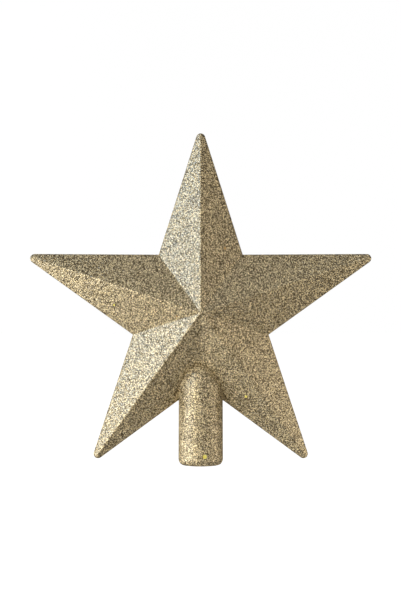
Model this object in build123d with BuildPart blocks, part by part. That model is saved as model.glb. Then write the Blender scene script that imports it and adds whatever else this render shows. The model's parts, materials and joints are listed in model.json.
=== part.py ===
from build123d import *
from math import asin, atan2, cos, degrees, hypot, radians, sin, tan
import os

# A five-pointed star for the top of a tree, in millimetres.
# Two hollow half shells close round a bullet-shaped socket that slips over the tree's leader, and one
# glitter coat covers the outside. The origin is the centre of the socket's mouth, +Z runs up the socket
# to the top point, and the front of the star faces -Y.

# Star, measured over the glitter
star_width = 190.0  # across the ends of the two side points
point_radius = 2.5  # rounding of a point's end, seen from the front
valley_radius = 39.8  # star's centre to the corner between two arms
half_depth = 21.5  # seam to the peak of one face
edge_land = 0.6  # seam to the start of the sloping faces, along the blunt edge
centre_height = 84.7  # socket's mouth to the star's centre

# Moulded walls and the coat on them
wall = 1.8  # shells
socket_wall = 2.4
coat = 0.35

# Socket
bore_diameter = 19.3
rim_radius = 2.6  # rounding round the mouth, over the glitter
dome_drop = 1.7  # valley corner above the socket down to where its round end begins
dome_length = 16.0  # of the round end, over the glitter
nose_radius = 9.8  # of the round end's top, over the glitter
socket_draft = 0.15  # taken off the outer radius from the mouth to the round end, to leave the mould

# Lip joint along the seam
lip_thickness = 0.8
lip_height = 0.6
lip_clearance = 0.1
cement_depth = 0.3

# Pins of the rear shell, which locate the front shell and hold the socket by its ears
pin_diameter = 3.5
pin_length = 5.0  # seam to a pin's end
pin_root = 3.0  # seam to where a pin starts inside its boss
pin_clearance = 0.1
pin_chamfer = 0.5
boss_diameter = 8.0
arm_pin_reach = 60.0  # star's centre to the pin in each arm

# Ears of the socket, in the plane of the seam
ear_reach = 5.1  # socket's side, over the glitter, to the pin through an ear
ear_rise = 3.8  # valley corner above the socket to the pins through the ears
ear_width = 10.0
ear_thickness = 2.0
socket_clearance = 0.1  # shells to the socket and its ears

arms = 5
front = -1
rear = 1

# Outline: each edge runs from a valley corner along the tangent of a point's round end
arm_turn = 360 / arms
half_turn = radians(arm_turn / 2)
side_lift = radians(90 - arm_turn)
round_reach = (star_width / 2 - point_radius) / cos(side_lift)
valley_across = valley_radius * sin(half_turn)
valley_to_round = round_reach - valley_radius * cos(half_turn)
half_point_angle = atan2(valley_across, valley_to_round)
half_point_angle -= asin(point_radius / hypot(valley_to_round, valley_across))
point_reach = round_reach + point_radius / sin(half_point_angle)
edge_distance = point_reach * sin(half_point_angle)
slope = atan2(half_depth - edge_land, edge_distance)

# The moulded hollow meets the seam this far inside the outline
hollow_inset = coat + wall
hollow_edge = (hollow_inset / cos(slope) - edge_land) / tan(slope)

# The socket reaches into the star at the valley corner between the two lower arms
valley_height = centre_height - valley_radius
bore_radius = bore_diameter / 2
socket_radius = bore_radius + socket_wall
coated_radius = socket_radius + coat
dome_base = valley_height - dome_drop
ear_offset = coated_radius + ear_reach
ear_height = valley_height + ear_rise

pin_hole_radius = pin_diameter / 2 + pin_clearance
ear_pins = [(-ear_offset, ear_height), (ear_offset, ear_height)]
arm_pins = []
for arm in range(arms):
    turn = radians(90 + arm * arm_turn)
    arm_pins.append((arm_pin_reach * cos(turn), centre_height + arm_pin_reach * sin(turn)))
pins = arm_pins + ear_pins


def star_plan(inset, distance=0, rounding=0):
    """The star's outline, its edges moved in by inset, on a plane in front of the seam."""
    share = 1 - inset / edge_distance
    corners = []
    for arm in range(arms):
        for reach, turn in ((point_reach, 0), (valley_radius, half_turn)):
            angle = radians(90 + arm * arm_turn) + turn
            corners.append((share * reach * cos(angle), centre_height + share * reach * sin(angle)))
    with BuildSketch(Plane.XZ.offset(distance)) as plan:
        with BuildLine():
            Polyline(*corners, close=True)
        make_face()
        if rounding > 0:
            points = plan.vertices().sort_by_distance((0, centre_height))[-arms:]
            fillet(points, radius=rounding)
    return plan.sketch


def circles(places, radius, distance=0):
    """Equal circles at places in a plane in front of the seam."""
    with BuildSketch(Plane.XZ.offset(distance)) as plan:
        with Locations(*places):
            Circle(radius)
    return plan.sketch


def solid_half(inset, facing):
    """One half of the star as a solid, all its outer faces moved in by inset."""
    rim = edge_land + inset * tan(slope) - inset / cos(slope)
    peak = Vertex(0, facing * (half_depth - inset / cos(slope)), centre_height)
    with BuildPart() as half:
        extrude(star_plan(inset), amount=-facing * rim)
        loft([star_plan(inset, -facing * rim).face(), peak], ruled=True)
        rounded = star_plan(inset, rounding=point_radius - inset)
        extrude(rounded, amount=-facing * half_depth, mode=Mode.INTERSECT)
    return half.part


def hollow_half(facing, rebate):
    """The space inside one shell and its rebate along the seam, with a boss left round each pin."""
    peak = Vertex(0, facing * (half_depth - hollow_inset / cos(slope)), centre_height)
    with BuildPart() as hollow:
        loft([star_plan(hollow_edge).face(), peak], ruled=True)
        if rebate > 0:
            extrude(star_plan(hollow_edge - lip_thickness - lip_clearance), amount=-facing * rebate)
        bosses = circles(pins, boss_diameter / 2)
        extrude(bosses, amount=-facing * half_depth, mode=Mode.SUBTRACT)
    return hollow.part


def lip_band(start, height):
    """A band along the seam, just outside the hollow, towards the front."""
    with BuildPart() as band:
        extrude(star_plan(hollow_edge - lip_thickness, start), amount=height)
        extrude(star_plan(hollow_edge, start), amount=height, mode=Mode.SUBTRACT)
    return band.part


def bullet(radius, mouth, rim=0, draft=0):
    """A round bar with a bullet-shaped upper end, standing on the plane of its mouth."""
    inset = coated_radius - radius
    dome_radius = radius - draft
    dome_rise = dome_length - inset
    nose = nose_radius - inset
    side = (dome_radius**2 + dome_rise**2 - 2 * dome_rise * nose) / (2 * (dome_radius - nose))
    nose_start = degrees(atan2(dome_rise - nose, side - dome_radius))
    with BuildPart() as bar:
        with BuildSketch(Plane.XZ) as profile:
            with BuildLine():
                foot = Line((0, mouth), (radius, mouth))
                Line(foot @ 1, (dome_radius, dome_base))
                CenterArc((dome_radius - side, dome_base), side, 0, nose_start)
                top = CenterArc((0, dome_base + dome_rise - nose), nose, nose_start, 90 - nose_start)
                Line(top @ 1, foot @ 0)
            make_face()
            if rim > 0:
                fillet(profile.vertices().sort_by_distance((radius, mouth))[0], radius=rim)
        revolve(axis=Axis.Z)
    return bar.part


def ear_plate(clearance):
    """The plate in the seam plane that makes both ears of the socket."""
    with BuildPart() as plate:
        with BuildSketch(Plane.XZ):
            with Locations((0, ear_height)):
                SlotCenterToCenter(2 * ear_offset, ear_width + 2 * clearance)
        extrude(amount=ear_thickness / 2 + clearance, both=True)
    return plate.part


front_block = solid_half(coat, front)
rear_block = solid_half(coat, rear)
socket_block = bullet(socket_radius, coat, rim_radius - coat, socket_draft)
bore_block = bullet(bore_radius, 0)

with BuildPart() as socket_room:
    add(bullet(socket_radius + socket_clearance, 0, draft=socket_draft))
    add(ear_plate(socket_clearance))

with BuildPart() as leader_socket:
    add(socket_block)
    add(ear_plate(0))
    extrude(circles(ear_pins, pin_hole_radius), amount=ear_thickness, both=True, mode=Mode.SUBTRACT)
    add(bore_block, mode=Mode.SUBTRACT)
leader_socket.part.label = "leader_socket"

with BuildPart() as front_shell:
    add(front_block)
    add(hollow_half(front, lip_height + cement_depth), mode=Mode.SUBTRACT)
    extrude(circles(pins, pin_hole_radius), amount=pin_length + pin_clearance, mode=Mode.SUBTRACT)
    add(socket_room.part, mode=Mode.SUBTRACT)
front_shell.part.label = "front_shell"

with BuildPart() as rear_shell:
    add(rear_block)
    add(hollow_half(rear, 0), mode=Mode.SUBTRACT)
    add(lip_band(0, lip_height))
    add(socket_room.part, mode=Mode.SUBTRACT)
    extrude(circles(pins, pin_diameter / 2, -pin_root), amount=pin_root + pin_length)
    chamfer(rear_shell.edges().group_by(Axis.Y)[0], length=pin_chamfer)
rear_shell.part.label = "rear_shell"

with BuildPart() as seam_cement:
    add(lip_band(lip_height, cement_depth))
    add(socket_room.part, mode=Mode.SUBTRACT)
seam_cement.part.label = "seam_cement"

with BuildPart() as glitter_coat:
    add(solid_half(0, front))
    add(solid_half(0, rear))
    add(bullet(coated_radius, 0, rim_radius, socket_draft))
    add([front_block, rear_block, socket_block, bore_block], mode=Mode.SUBTRACT)
glitter_coat.part.label = "glitter_coat"

os.makedirs("parts", exist_ok=True)
for piece in (front_shell, rear_shell, leader_socket, seam_cement, glitter_coat):
    export_step(piece.part, f"parts/{piece.part.label}.step")
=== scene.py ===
"""The looks of a glitter star for the top of a tree, built around its CAD model.

Lengths are millimetres until an object is made. Blender's objects are in metres, in the CAD frame:
+Z runs up the socket, and the front of the star faces -Y. A plan point is (x, z), measured from the
star's centre.
"""
import json
from math import asin, atan2, cos, hypot, pi, radians, sin

import bmesh
import bpy
import numpy as np
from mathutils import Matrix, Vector
from mathutils.geometry import delaunay_2d_cdt


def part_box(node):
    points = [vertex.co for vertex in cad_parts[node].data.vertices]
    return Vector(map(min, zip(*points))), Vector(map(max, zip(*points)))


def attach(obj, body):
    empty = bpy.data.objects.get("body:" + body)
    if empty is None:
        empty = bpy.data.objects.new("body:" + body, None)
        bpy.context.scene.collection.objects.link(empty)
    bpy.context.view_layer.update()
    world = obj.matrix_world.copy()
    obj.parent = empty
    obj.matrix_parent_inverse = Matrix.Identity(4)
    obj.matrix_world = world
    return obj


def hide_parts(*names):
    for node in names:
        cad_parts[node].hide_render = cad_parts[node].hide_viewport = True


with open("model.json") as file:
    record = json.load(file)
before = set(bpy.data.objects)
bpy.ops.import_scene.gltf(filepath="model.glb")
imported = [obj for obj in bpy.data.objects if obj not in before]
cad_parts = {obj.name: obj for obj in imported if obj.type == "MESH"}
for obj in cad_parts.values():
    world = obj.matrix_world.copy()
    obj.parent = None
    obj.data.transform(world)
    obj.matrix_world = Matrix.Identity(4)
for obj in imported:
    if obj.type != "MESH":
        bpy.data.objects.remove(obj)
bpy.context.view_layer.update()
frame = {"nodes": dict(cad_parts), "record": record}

MM = 0.001

# The star and its socket, as the CAD model has them
ARMS = 5
POINT_RADIUS = 2.5
VALLEY_RADIUS = 39.8
EDGE_LAND = 0.6
COAT = 0.35
SOCKET_WALL = 2.4
SOCKET_DRAFT = 0.15
MOUTH_ROUND = 2.6
DOME_LENGTH = 16.0
NOSE_RADIUS = 9.8
FRONT, REAR = -1, 1

# What the glitter does to those shapes
GRAIN = 0.48  # spacing of the skin's corners, about a flake
GRAIN_JITTER = 0.28  # share of that spacing
GRAIN_DEPTH = 0.14  # deepest gap between flakes
RIDGE_ROUND = 0.35  # how far from a ridge its rounding starts
EDGE_ROUND = 0.8  # how far from the outline its rounding starts
EDGE_ROWS = 5
OVERLAP = 0.2  # how far the star's skin and the socket's run into each other
MOUTH_RISE = 3.7  # height of the rounding round the mouth

# Large flakes of other colours: facing, x, height above the mouth, width
YELLOW_FLAKES = (
    (FRONT, 2.3, 5.6, 2.5),
    (FRONT, 25.0, 38.3, 1.7),
    (FRONT, -47.9, 88.9, 1.2),
    (REAR, -9.0, 121.0, 1.4),
    (REAR, 38.0, 96.0, 1.3),
    (REAR, -3.5, 22.0, 1.6),
)
ORANGE_FLAKES = (
    (FRONT, 13.4, 120.2, 1.6),
    (FRONT, -13.2, 82.7, 1.0),
    (REAR, 21.0, 58.0, 1.4),
    (REAR, -36.0, 74.0, 1.1),
)
FLAKE_SIDES = 6
FLAKE_LEVELS = -0.05, 0.08  # underside and top of a large flake, from the coat's outside

# Photograph: 401 x 601 pixels, the star seen straight on
PHOTO_WIDTH, PHOTO_HEIGHT = 401, 601
PHOTO_CENTRE = (200.72, 312.46)  # star's centre, in pixels
PHOTO_STAR_WIDTH = 341.2  # across the two side points, in pixels
PHOTO_FOCAL = 1450.0  # in pixels
SENSOR = 36.0

# Steps of the calculations
HALVINGS = 40  # of the range in which the socket meets the star
NORMAL_STEP = 0.5  # to each side of a place, for the way that the coat faces there

# Sizes that follow from the frame
coat_low, coat_high = (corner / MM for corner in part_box("glitter_coat"))
bore = frame["record"]["mounts"][0]["dims"]
half_depth = (coat_high.y - coat_low.y) / 2
bore_radius, dome_base = bore["r_mm"], bore["length_mm"]
tube_radius = bore_radius + SOCKET_WALL + COAT
dome_radius = tube_radius - SOCKET_DRAFT
wall_straight = dome_base - MOUTH_RISE

# The socket's round end: an arc up its side, then a round nose
nose_height = dome_base + DOME_LENGTH - NOSE_RADIUS
side_radius = dome_radius**2 + DOME_LENGTH**2 - 2 * DOME_LENGTH * NOSE_RADIUS
side_radius /= 2 * (dome_radius - NOSE_RADIUS)
nose_start = atan2(DOME_LENGTH - NOSE_RADIUS, side_radius - dome_radius)

arm_step = 2 * pi / ARMS
half_turn = arm_step / 2
round_reach = (coat_high.x - POINT_RADIUS) / cos(pi / 2 - arm_step)
centre_height = coat_high.z - round_reach - POINT_RADIUS
valley_across = VALLEY_RADIUS * sin(half_turn)
valley_to_round = round_reach - VALLEY_RADIUS * cos(half_turn)
half_point = atan2(valley_across, valley_to_round)
half_point -= asin(POINT_RADIUS / hypot(valley_to_round, valley_across))
edge_distance = round_reach * sin(half_point) + POINT_RADIUS
rise = half_depth - EDGE_LAND


# Shapes

def spaced(length):
    """How many steps of about one grain fit in a length."""
    return max(1, round(length / GRAIN))


def arm_places(plan):
    """Distances of plan points along the middle of their arm, and across from it."""
    angle = np.arctan2(plan[:, 1], plan[:, 0]) - pi / 2
    off_arm = angle - np.round(angle / arm_step) * arm_step
    reach = np.hypot(plan[:, 0], plan[:, 1])
    return reach * np.cos(off_arm), np.abs(reach * np.sin(off_arm))


def face_height(plan):
    """How far the coat stands from the seam plane at plan points, with its ridges rounded."""
    along, across = arm_places(plan)
    out = along * sin(half_point) + np.hypot(across, RIDGE_ROUND) * cos(half_point)
    return half_depth - rise * out / edge_distance


def face_normals(plan):
    """Which way the coat faces at plan points, as (x, distance from the seam plane, z)."""
    across, up = np.array((NORMAL_STEP, 0)), np.array((0, NORMAL_STEP))
    lean = face_height(plan - across) - face_height(plan + across)
    pitch = face_height(plan - up) - face_height(plan + up)
    ways = np.column_stack((lean, np.full(len(plan), 2 * NORMAL_STEP), pitch))
    return ways / np.linalg.norm(ways, axis=1)[:, None]


def wall_lift(height, grow=0):
    """How far the grown socket's wall turns up, in radians, at heights above its mouth."""
    side = np.arcsin(np.clip((height - dome_base) / (side_radius + grow), 0, 1))
    nose = np.arcsin(np.clip((height - nose_height) / (NOSE_RADIUS + grow), -1, 1))
    return np.where(side < nose_start, side, nose)


def tube_radius_at(height, grow=0):
    """The coated socket's radius, grown all round, at heights above its mouth."""
    lift = wall_lift(height, grow)
    cone = tube_radius + grow - SOCKET_DRAFT * height / dome_base
    side = dome_radius - side_radius + (side_radius + grow) * np.cos(lift)
    nose = (NOSE_RADIUS + grow) * np.cos(lift)
    return np.select((height < dome_base, lift < nose_start), (cone, side), nose)


def arch_heights(turn, grow, lift):
    """Heights where the grown socket meets the star, lifted off the seam, at angles from the front."""
    low = np.zeros(len(turn))
    high = dome_base + DOME_LENGTH + grow + low
    for _ in range(HALVINGS):
        middle = (low + high) / 2
        radius = tube_radius_at(middle, grow)
        plan = np.column_stack((radius * np.sin(turn), middle - centre_height))
        inside = face_height(plan) + lift > radius * np.abs(np.cos(turn))
        low, high = np.where(inside, low, middle), np.where(inside, middle, high)
    return middle


def outline(inset):
    """The star's edge, moved in by inset, from the right side of the socket round to its left side."""
    valley = VALLEY_RADIUS * (1 - inset / edge_distance)
    cut = tube_radius - OVERLAP
    edge_steps = spaced(hypot(valley_to_round, valley_across))
    bend = np.linspace(-1, 1, 2 * spaced(POINT_RADIUS * pi / 4) + 1) * (pi / 2 - half_point)
    points = []
    for arm in range(ARMS):
        middle = arm_step * (arm + 0.5) - pi / 2
        centre = round_reach * np.array((cos(middle), sin(middle)))
        around = np.column_stack((np.cos(middle + bend), np.sin(middle + bend)))
        tip = centre + (POINT_RADIUS - inset) * around
        before = valley * np.array((cos(middle - half_turn), sin(middle - half_turn)))
        after = valley * np.array((cos(middle + half_turn), sin(middle + half_turn)))
        first, last = arm == 0, arm == ARMS - 1
        start = cut / tip[0, 0] if first else 0
        stop = 1 + cut / tip[-1, 0] if last else 1
        out = np.linspace(start, 1, edge_steps, endpoint=False)[:, None]
        back = np.linspace(0, stop, edge_steps, endpoint=last)[1:, None]
        points += [before + out * (tip[0] - before), tip, tip[-1] + back * (after - tip[-1])]
    return np.vstack(points)


def arch_line(lowest):
    """The plan of the star's edge against the socket, from left to right, above a height."""
    turn = np.linspace(-pi / 2, pi / 2, 2 * spaced(pi * tube_radius / 2) + 1)
    height = arch_heights(turn, -OVERLAP, 0)
    radius = tube_radius_at(height, -OVERLAP)
    plan = np.column_stack((radius * np.sin(turn), height - centre_height))
    return plan[plan[:, 1] > lowest + GRAIN / 3]


def inner_lines(boundary):
    """Ridges and valleys, each as the boundary point that it ends at and the plan points on the way."""
    lines = []
    for turn in range(2 * ARMS):
        angle = turn * half_turn - pi / 2
        way = np.array((cos(angle), sin(angle)))
        aside = np.abs(boundary @ np.array((-way[1], way[0])))
        end = int(np.argmin(np.where(boundary @ way > 0, aside, np.inf)))
        steps = spaced(np.linalg.norm(boundary[end]))
        lines.append((end, np.linspace(0, 1, steps + 1)[1:-1, None] * boundary[end]))
    return lines


def lattice(random):
    """Plan points about a grain apart, clear of the outline, the ridges, the valleys and the socket."""
    reach = round_reach + POINT_RADIUS
    rows = np.arange(-reach, reach, GRAIN * sin(pi / 3))
    across, up = np.meshgrid(np.arange(-reach, reach, GRAIN), rows)
    across[::2] += GRAIN / 2
    plan = np.column_stack((across.ravel(), up.ravel()))
    plan += random.uniform(-GRAIN_JITTER, GRAIN_JITTER, plan.shape) * GRAIN
    room = GRAIN / 2
    along, across = arm_places(plan)
    off_valley = along * sin(half_turn) - across * cos(half_turn)
    clear = (across > room) & (off_valley > room)
    out = along * sin(half_point) + across * cos(half_point)
    clear &= out < edge_distance - EDGE_ROUND - room
    from_round = np.hypot(along - round_reach, across)
    clear &= (along < round_reach) | (from_round < POINT_RADIUS - EDGE_ROUND - room)
    height = plan[:, 1] + centre_height
    from_axis = np.hypot(plan[:, 0], face_height(plan))
    clear &= from_axis > tube_radius_at(height, -OVERLAP) + room
    return plan[clear]


def filled_face(boundary, random):
    """Plan points, the boundary's first, and triangles inside it with edges on ridges and valleys."""
    groups = [boundary, np.zeros((1, 2))]
    centre = len(boundary)
    count = centre + 1
    edges = [(i, (i + 1) % centre) for i in range(centre)]
    for end, line in inner_lines(boundary):
        chain = [centre, *range(count, count + len(line)), end]
        edges += zip(chain, chain[1:])
        groups.append(line)
        count += len(line)
    groups.append(lattice(random))
    points = [Vector(point) for point in np.vstack(groups)]
    inside_only, merge_distance = 1, 1e-5
    plan, _, faces, *_ = delaunay_2d_cdt(points, edges, [], inside_only, merge_distance)
    return np.array([tuple(point) for point in plan]), list(faces)


def ribbon(first, second):
    """Triangles between two rows of equally many vertices."""
    faces = []
    for a, b, c, d in zip(first, first[1:], second, second[1:]):
        faces += [(a, b, d), (a, d, c)]
    return faces


def grain_depths(count, random):
    """How far each corner lies under the coat's outside: most are near it, a few are deep gaps."""
    return GRAIN_DEPTH * random.random(count) ** 3


def add_piece(name, vertices, faces, depths, material):
    """A closed mesh from millimetre vertices, sunk by depths along its normals, on the one body."""
    mesh = bpy.data.meshes.new(name)
    mesh.from_pydata((vertices * MM).tolist(), [], faces)
    shape = bmesh.new()
    shape.from_mesh(mesh)
    bmesh.ops.recalc_face_normals(shape, faces=shape.faces)
    shape.normal_update()
    for vertex, depth in zip(shape.verts, depths):
        vertex.co -= vertex.normal * (depth * MM)
    shape.to_mesh(mesh)
    shape.free()
    mesh.materials.append(material)
    piece = bpy.data.objects.new(name, mesh)
    bpy.context.scene.collection.objects.link(piece)
    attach(piece, "root")
    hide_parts("glitter_coat")


def star_skin(name, facing, seed, material):
    """One half of the star's coat: a rough outside, an edge rounded to the seam, and a plain inside."""
    random = np.random.default_rng(seed)
    edge, rim = outline(0), outline(EDGE_ROUND)
    arch = arch_line(rim[0, 1])
    plan, faces = filled_face(np.vstack((rim, arch)), random)
    groups = [np.column_stack((plan[:, 0], face_height(plan), plan[:, 1]))]
    count = len(plan)

    # The edge rounds over from the rim down to the seam
    top = groups[0][: len(rim)]
    corner = np.column_stack((edge[:, 0], face_height(edge), edge[:, 1]))
    seam = corner * (1, 0, 1)
    rows = [list(range(len(rim)))]
    for row in range(1, EDGE_ROWS + 1):
        t = row / EDGE_ROWS
        groups.append((1 - t) ** 2 * top + 2 * t * (1 - t) * corner + t**2 * seam)
        rows.append(list(range(count, count + len(rim))))
        faces += ribbon(rows[-2], rows[-1])
        count += len(rim)
    outside = np.vstack(groups)

    # The inside follows the open edge of the outside, and runs up to one hidden peak
    left_end = [row[-1] for row in rows[-2::-1]]
    right_end = [row[0] for row in rows[:-1]]
    arch_row = list(range(len(rim), len(rim) + len(arch)))
    loop = rows[-1] + left_end + arch_row + right_end
    inset = 1 - COAT / edge_distance
    inside = outside[loop] * (inset, 1, inset) - (0, 2 * COAT, 0)
    inside[:, 1] = np.clip(inside[:, 1], 0, None)
    peak = np.array([[0, half_depth - 3 * COAT, 0]])
    ring = list(range(count, count + len(loop)))
    faces += ribbon(loop + loop[:1], ring + ring[:1])
    faces += [(a, b, count + len(loop)) for a, b in zip(ring, ring[1:] + ring[:1])]

    depths = np.zeros(count + len(loop) + 1)
    depths[:count] = grain_depths(count, random)
    depths[loop] = 0
    vertices = np.vstack((outside, inside, peak)) * (1, facing, 1) + (0, 0, centre_height)
    add_piece(name, vertices, faces, depths, material)


def wall_length(height):
    """Length up the socket's wall, from the rounding of its mouth, to heights on it."""
    lift = wall_lift(height)
    straight = np.clip(height - MOUTH_RISE, None, wall_straight)
    side = side_radius * np.minimum(lift, nose_start)
    nose = NOSE_RADIUS * np.maximum(lift - nose_start, 0)
    return straight + side + nose


def wall_places(length):
    """Radius and height at lengths up the socket's wall."""
    bent = np.clip(length - wall_straight, 0, None)
    side = np.minimum(bent / side_radius, nose_start)
    nose = nose_start + np.maximum(bent - side_radius * nose_start, 0) / NOSE_RADIUS
    height = MOUTH_RISE + np.clip(length, None, wall_straight) + side_radius * np.sin(side)
    height += NOSE_RADIUS * (np.sin(nose) - sin(nose_start))
    return tube_radius_at(height), height


def ring_points(turn, radius, height):
    """Points at angles from the front, as (x, y, z) from the centre of the socket's mouth."""
    x, y = radius * np.sin(turn), -radius * np.cos(turn)
    return np.column_stack((x, y, np.broadcast_to(height, x.shape)))


def socket_coat(name, seed, material):
    """The socket's coat, from the edge of its bore round the mouth and up into the star."""
    random = np.random.default_rng(seed)
    columns = spaced(2 * pi * tube_radius)
    step = 2 * pi / columns
    turns = np.arange(columns) * step
    wall_rows = spaced(wall_length(centre_height - VALLEY_RADIUS + dome_radius))
    mouth = np.linspace(-pi / 2, 0, spaced(MOUTH_RISE * pi / 2) + 1)
    groups = [ring_points(turns, bore_radius, 0)]
    for angle in mouth:
        shifted = turns + step / 2 * (len(groups) % 2)
        radius = tube_radius - MOUTH_ROUND * (1 - cos(angle))
        groups.append(ring_points(shifted, radius, MOUTH_RISE * (1 + sin(angle))))
    for row in range(1, wall_rows + 1):
        loose = row < wall_rows
        shifted = turns + step / 2 * (len(groups) % 2)
        shifted += loose * step * random.uniform(-GRAIN_JITTER, GRAIN_JITTER, columns)
        top = wall_length(arch_heights(shifted, 0, -EDGE_LAND - OVERLAP))
        up = row + loose * random.uniform(-GRAIN_JITTER, GRAIN_JITTER, columns)
        groups.append(ring_points(shifted, *wall_places(top * up / wall_rows)))
    rough_rows = len(groups)

    # The inside lies on the bare socket
    top = groups[-1]
    shrunk = 1 - COAT / np.hypot(top[:, 0], top[:, 1])
    groups.append(top * np.column_stack((shrunk, shrunk, np.ones(columns))))
    groups.append(ring_points(turns, tube_radius - COAT, MOUTH_RISE))
    groups.append(ring_points(turns, bore_radius, COAT))

    faces = []
    for row in range(len(groups)):
        first = [row * columns + column for column in range(columns)]
        after = (row + 1) % len(groups)
        second = [after * columns + column for column in range(columns)]
        if row % 2 and row < rough_rows:
            faces += ribbon(second + second[:1], first + first[:1])
        else:
            faces += ribbon(first + first[:1], second + second[:1])
    depths = np.zeros(len(groups) * columns)
    rough = slice(columns, (rough_rows - 1) * columns)
    depths[rough] = grain_depths(rough.stop - rough.start, random)
    add_piece(name, np.vstack(groups), faces, depths, material)


def large_flakes(name, flakes, seed, material):
    """Thin flakes on the coat, each given by its facing, x, height above the mouth, and width."""
    random = np.random.default_rng(seed)
    corners = np.arange(FLAKE_SIDES) * 2 * pi / FLAKE_SIDES
    vertices, faces = [], []
    for facing, x, height, width in flakes:
        plan = np.array([(x, height - centre_height)])
        way, depth = face_normals(plan)[0], face_height(plan)[0]
        if height < dome_base and abs(x) < tube_radius:
            depth = np.sqrt(tube_radius**2 - x**2)
            way = np.array((x, depth, 0)) / tube_radius
        out = Vector(way * (1, facing, 1))
        middle = Vector((x, facing * depth, height))
        along = out.orthogonal().normalized()
        aside = out.cross(along)
        spin = corners + random.uniform(0, pi)
        ring = [middle + width / 2 * (cos(a) * along + sin(a) * aside) for a in spin]
        start = len(vertices)
        for level in FLAKE_LEVELS:
            vertices += [tuple(point + level * out) for point in ring]
        lower = range(start, start + FLAKE_SIDES)
        upper = range(start + FLAKE_SIDES, len(vertices))
        faces += [tuple(lower), tuple(upper)]
        faces += [(lower[i], lower[i - 1], upper[i - 1], upper[i]) for i in range(FLAKE_SIDES)]
    add_piece(name, np.array(vertices), faces, np.zeros(len(vertices)), material)


# Materials

class Shader:
    """A material's or the world's node tree, filled by short calls."""

    def __init__(self, owner):
        owner.use_nodes = True
        self.tree = owner.node_tree
        self.tree.nodes.clear()

    def add(self, kind, inputs=None, **settings):
        """A node with settings, and inputs that are values or other nodes' outputs."""
        made = self.tree.nodes.new("ShaderNode" + kind)
        for name, value in settings.items():
            setattr(made, name, value)
        for name, value in (inputs or {}).items():
            if isinstance(value, bpy.types.NodeSocket):
                self.tree.links.new(value, made.inputs[name])
            else:
                made.inputs[name].default_value = value
        return made.outputs

    def ramp(self, value, stops):
        """A colour ramp over (position, colour) stops."""
        outputs = self.add("ValToRGB", {"Fac": value})
        band = outputs["Color"].node.color_ramp
        while len(band.elements) < len(stops):
            band.elements.new(1)
        for element, (position, colour) in zip(band.elements, stops):
            element.position = position
            element.color = (*colour, 1)
        return outputs["Color"]

    def shades(self, cloud, colour, deeper):
        """A colour and its deeper shade, mixed by a noise."""
        low, high = SHADE_EDGES
        return self.ramp(cloud, ((low, deeper), (high, colour)))

    def math(self, operation, *values):
        """A number worked out from others."""
        return self.add("Math", dict(enumerate(values)), operation=operation)["Value"]

    def vector(self, operation, inputs):
        """A direction worked out from others."""
        return self.add("VectorMath", inputs, operation=operation)["Vector"]

    def scaled(self, value, low, high):
        """A 0 to 1 value as one from low to high."""
        return self.add("MapRange", {"Value": value, "To Min": low, "To Max": high})["Result"]

    def smooth(self, value, low, high):
        """0 up to low, 1 from high, and a smooth step between them."""
        limits = {"Value": value, "From Min": low, "From Max": high}
        return self.add("MapRange", limits, interpolation_type="SMOOTHSTEP")["Result"]

    def output(self, surface, kind="OutputMaterial"):
        """The tree's end."""
        self.add(kind, {"Surface": surface})


MIX_SHARE, MIX_A, MIX_B, MIX_RESULT = 0, 6, 7, 2  # a Mix node's sockets for colours

# Fine glitter
FLAKE = 0.13  # across one flake
CLUMP = 0.39  # across a clump of flakes that lie alike
CLUMP_TILT = 0.12
FLAT_FROM = 0.72, 0.76  # share of flakes that lean, and where the last of them lie flat
LEAN_TILT, FLAT_TILT = 0.7, 0.12  # how far the two kinds of flake lean
LEAN_ROUGHNESS, FLAT_ROUGHNESS = 0.5, 0.2
LEAN_METAL, FLAT_METAL = 0.45, 1.0  # the rest of a flake is coloured lacquer
# Painted sparkle: each clump of leaning flakes gets a random colour from near black to full champagne.
# The bright clumps are painted highlights of flakes that catch the lamps, and the dark ones are painted
# shade of flakes turned from them, over the flakes' own champagne tone.
LEAN_COLOURS = (
    (0.0, (0.02, 0.012, 0.005)),
    (0.58, (0.13, 0.088, 0.034)),
    (0.75, (0.80, 0.63, 0.345)),
    (1.0, (1.0, 0.80, 0.45)),
)
# Flat flakes get painted sparkle too, from the same random clump value, over a narrower range.
FLAT_COLOURS = (
    (0.0, (0.29, 0.245, 0.165)),
    (0.45, (0.53, 0.46, 0.335)),
    (1.0, (0.72, 0.655, 0.515)),
)
RIM_TINT = (0.3, 0.25, 0.18, 1)  # flakes hide each other where the coat is seen along its surface

# Other finishes: colour and deeper shade
YELLOW_FOIL = (0.98, 0.86, 0.22), (0.80, 0.66, 0.10)
ORANGE_FOIL = (0.52, 0.30, 0.09), (0.42, 0.23, 0.06)
SHELL_PLASTIC = (0.42, 0.29, 0.11), (0.36, 0.24, 0.09)
SOCKET_PLASTIC = (0.40, 0.27, 0.10), (0.34, 0.22, 0.08)
CEMENT = (0.60, 0.54, 0.37), (0.50, 0.44, 0.28)
SHADE_EDGES = 0.35, 0.65  # where the noise between the two shades starts and stops
FOIL_CLOUDS, PLASTIC_CLOUDS, PEBBLES = 900.0, 60.0, 2400.0  # in a metre
PEBBLE_HEIGHT = 0.05


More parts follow.
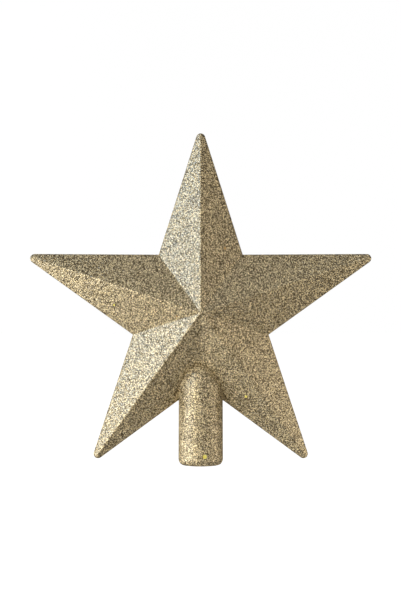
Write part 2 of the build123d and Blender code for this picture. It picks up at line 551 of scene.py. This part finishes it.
def glitter_material():
    """Fine champagne flakes in clumps: some lean about, and some lie flat. Each clump's colour carries
    painted sparkle, bright or dark at random.
    """
    material = bpy.data.materials.new("champagne_glitter")
    shader = Shader(material)
    place = shader.add("TexCoord")["Object"]
    flake = shader.add("TexVoronoi", {"Vector": place, "Scale": 1 / (FLAKE * MM)})
    clump = shader.add("TexVoronoi", {"Vector": place, "Scale": 1 / (CLUMP * MM)})
    chance = shader.add("TexWhiteNoise", {"Vector": flake["Position"]})["Value"]
    limits = {"Value": chance, "From Min": FLAT_FROM[0], "From Max": FLAT_FROM[1]}
    flat = shader.add("MapRange", limits)["Result"]
    # Painted sparkle: one random brightness for each clump, which sets both colour ramps.
    bright = shader.add("TexWhiteNoise", {"Vector": clump["Position"]})["Value"]
    lean_colour, flat_colour = shader.ramp(bright, LEAN_COLOURS), shader.ramp(bright, FLAT_COLOURS)
    colours = {MIX_SHARE: flat, MIX_A: lean_colour, MIX_B: flat_colour}
    normal = shader.add("NewGeometry")["Normal"]
    for cell, lean in ((flake, shader.scaled(flat, LEAN_TILT, FLAT_TILT)), (clump, CLUMP_TILT)):
        aside = shader.vector("SUBTRACT", {0: cell["Color"], 1: (0.5, 0.5, 0.5)})
        aside = shader.vector("SCALE", {0: aside, "Scale": lean})
        normal = shader.vector("ADD", {0: normal, 1: aside})
    normal = shader.vector("NORMALIZE", {0: normal})
    shader.output(shader.add("BsdfPrincipled", {
        "Base Color": shader.add("Mix", colours, data_type="RGBA")[MIX_RESULT],
        "Metallic": shader.scaled(flat, LEAN_METAL, FLAT_METAL),
        "Roughness": shader.scaled(flat, LEAN_ROUGHNESS, FLAT_ROUGHNESS),
        "Specular IOR Level": 0.1,
        "Specular Tint": RIM_TINT,
        "Normal": normal,
    })["BSDF"])
    return material


def flake_material(name, colour, deeper):
    """Coloured foil under clear lacquer, in two close shades."""
    material = bpy.data.materials.new(name)
    shader = Shader(material)
    place = shader.add("TexCoord")["Object"]
    cloud = shader.add("TexNoise", {"Vector": place, "Scale": FOIL_CLOUDS, "Detail": 2.0})["Fac"]
    shader.output(shader.add("BsdfPrincipled", {
        "Base Color": shader.shades(cloud, colour, deeper),
        "Metallic": 0.4,
        "Roughness": shader.scaled(cloud, 0.25, 0.4),
    })["BSDF"])
    return material


def plastic_material(name, colour, deeper):
    """Moulded plastic: two close shades in slow clouds, and a faint pebble from the mould."""
    material = bpy.data.materials.new(name)
    shader = Shader(material)
    place = shader.add("TexCoord")["Object"]
    cloud = shader.add("TexNoise", {"Vector": place, "Scale": PLASTIC_CLOUDS, "Detail": 3.0})["Fac"]
    pebble = shader.add("TexNoise", {"Vector": place, "Scale": PEBBLES, "Detail": 2.0})["Fac"]
    dents = {"Height": pebble, "Strength": 0.15, "Distance": PEBBLE_HEIGHT * MM}
    bump = shader.add("Bump", dents)["Normal"]
    shader.output(shader.add("BsdfPrincipled", {
        "Base Color": shader.shades(cloud, colour, deeper),
        "Roughness": shader.scaled(pebble, 0.38, 0.55),
        "Normal": bump,
    })["BSDF"])
    return material


def floor_material():
    """A pale floor that takes the star's shadow, paler far out and white towards the backdrop."""
    material = bpy.data.materials.new("pale_floor")
    shader = Shader(material)
    path = shader.add("LightPath")
    seen = shader.math("MAXIMUM", path["Is Camera Ray"], path["Is Glossy Ray"])
    seen = shader.math("MAXIMUM", seen, path["Is Transmission Ray"])
    place = shader.add("TexCoord")["Object"]
    away = shader.add("VectorMath", {0: place}, operation="LENGTH")["Value"]
    way = shader.vector("NORMALIZE", {0: place})
    far = shader.smooth(away, FADE_START * MM, FADE_END * MM)
    behind = shader.smooth(shader.add("SeparateXYZ", {0: way})["Y"], *FLOOR_EDGE)
    glow = shader.scaled(behind, SIDE_GLOW, BACK_GLOW)
    glow = shader.math("MULTIPLY", shader.math("MULTIPLY", glow, far), seen)
    matt = shader.add("BsdfDiffuse", {"Color": FLOOR_COLOUR})["BSDF"]
    light = shader.add("Emission", {"Strength": glow})["Emission"]
    shader.output(shader.add("AddShader", {0: matt, 1: light})["Shader"])
    return material


# Studio

FLOOR_DROP = 400.0
FLOOR_SIZE = 40000.0
FLOOR_COLOUR = (0.7, 0.7, 0.7, 1)
SIDE_GLOW, BACK_GLOW = 0.35, 0.85  # what the floor adds to its light far out, and far behind the star
FADE_START, FADE_END = 500.0, 1500.0  # distances from the star between which it starts to glow
FLOOR_EDGE = 0.55, 0.95  # directions between which it turns white, as the cosine of the angle from +Y
# Brightness along each axis, minus side then plus side
ROOM = {"X": (0.6, 0.22), "Y": (0.97, 0.2), "Z": (0.24, 0.15)}
BACKDROP = 0.8  # what the white backdrop adds behind the star
BACKDROP_EDGE = 0.75, 0.93  # where it starts and where it is full, as the cosine of the angle from +Y

# Lamps: degrees to the right of the camera, degrees up, distance, size, brightness, colour
LAMPS = {
    "key": (-66, 22, 500, (450, 350), 2.6, (0.47, 0.67, 1.0)),
    "side": (-82, -18, 500, (800, 350), 2.4, (1.0, 1.0, 1.0)),
    "front": (-35, 0, 600, (350, 500), 2.0, (1.0, 0.9, 0.65)),
    "fill": (82, -5, 500, (300, 400), 1.9, (1.0, 0.9, 0.75)),
    "top": (0, 65, 600, (500, 400), 0.37, (1.0, 1.0, 1.0)),
    "back": (200, 25, 600, (500, 400), 2.6, (1.0, 1.0, 1.0)),
}


def add_floor():
    """The floor lies under the star, below the photograph's frame."""
    half = FLOOR_SIZE / 2 * MM
    mesh = bpy.data.meshes.new("floor")
    corners = [(-half, -half, 0), (half, -half, 0), (half, half, 0), (-half, half, 0)]
    mesh.from_pydata(corners, [], [(0, 1, 2, 3)])
    mesh.materials.append(floor_material())
    floor = bpy.data.objects.new("floor", mesh)
    floor.location.z = -FLOOR_DROP * MM
    bpy.context.scene.collection.objects.link(floor)


def add_world():
    """A room that is bright on the left and dim on the right, with a white backdrop behind the star."""
    world = bpy.data.worlds.new("studio")
    bpy.context.scene.world = world
    shader = Shader(world)
    way = shader.add("SeparateXYZ", {0: shader.add("TexCoord")["Generated"]})
    brightness = shader.scaled(shader.smooth(way["Y"], *BACKDROP_EDGE), 0, BACKDROP)
    for axis, (minus, plus) in ROOM.items():
        level = shader.scaled(shader.math("GREATER_THAN", way[axis], 0.0), minus, plus)
        share = shader.math("MULTIPLY", way[axis], way[axis])
        brightness = shader.math("MULTIPLY_ADD", level, share, brightness)
    light = shader.add("Background", {"Color": (1, 1, 1, 1), "Strength": brightness})
    shader.output(light["Background"], "OutputWorld")


def add_lamp(name, turn, lift, distance, size, brightness, colour):
    """A soft rectangular lamp that faces the star."""
    light = bpy.data.lights.new(name, "AREA")
    light.shape = "RECTANGLE"
    light.size, light.size_y = (side * MM for side in size)
    light.energy = brightness * pi * light.size * light.size_y
    light.color = colour
    lamp = bpy.data.objects.new(name, light)
    away = Vector((
        sin(radians(turn)) * cos(radians(lift)),
        -cos(radians(turn)) * cos(radians(lift)),
        sin(radians(lift)),
    ))
    lamp.location = Vector((0, 0, centre_height * MM)) + away * distance * MM
    lamp.rotation_euler = away.to_track_quat("Z", "Y").to_euler()
    lamp.visible_camera = False
    bpy.context.scene.collection.objects.link(lamp)


def add_camera():
    """A level camera that puts the star where the photograph has it."""
    scale = (coat_high.x - coat_low.x) / PHOTO_STAR_WIDTH
    lens = bpy.data.cameras.new("camera")
    lens.sensor_width = SENSOR
    lens.lens = PHOTO_FOCAL / max(PHOTO_WIDTH, PHOTO_HEIGHT) * SENSOR
    camera = bpy.data.objects.new("camera", lens)
    right = (PHOTO_WIDTH / 2 - PHOTO_CENTRE[0]) * scale
    up = centre_height + (PHOTO_CENTRE[1] - PHOTO_HEIGHT / 2) * scale
    camera.location = Vector((right, -PHOTO_FOCAL * scale, up)) * MM
    camera.rotation_euler = (pi / 2, 0, 0)
    bpy.context.scene.collection.objects.link(camera)
    bpy.context.scene.camera = camera


# The star in its studio

glitter = glitter_material()
yellow_foil = flake_material("yellow_foil", *YELLOW_FOIL)
orange_foil = flake_material("orange_foil", *ORANGE_FOIL)
star_skin("front_glitter", FRONT, seed=11, material=glitter)
star_skin("rear_glitter", REAR, seed=12, material=glitter)
socket_coat("socket_glitter", seed=13, material=glitter)
large_flakes("yellow_flakes", YELLOW_FLAKES, seed=15, material=yellow_foil)
large_flakes("orange_flakes", ORANGE_FLAKES, seed=16, material=orange_foil)

shell_plastic = plastic_material("shell_plastic", *SHELL_PLASTIC)
socket_plastic = plastic_material("socket_plastic", *SOCKET_PLASTIC)
cement = plastic_material("set_cement", *CEMENT)
finishes = {
    "front_shell": shell_plastic,
    "rear_shell": shell_plastic,
    "leader_socket": socket_plastic,
    "seam_cement": cement,
}
for name, finish in finishes.items():
    frame["nodes"][name].data.materials.clear()
    frame["nodes"][name].data.materials.append(finish)

add_floor()
add_world()
for name, lamp in LAMPS.items():
    add_lamp(name, *lamp)
add_camera()
bpy.context.scene.view_settings.view_transform = "Standard"
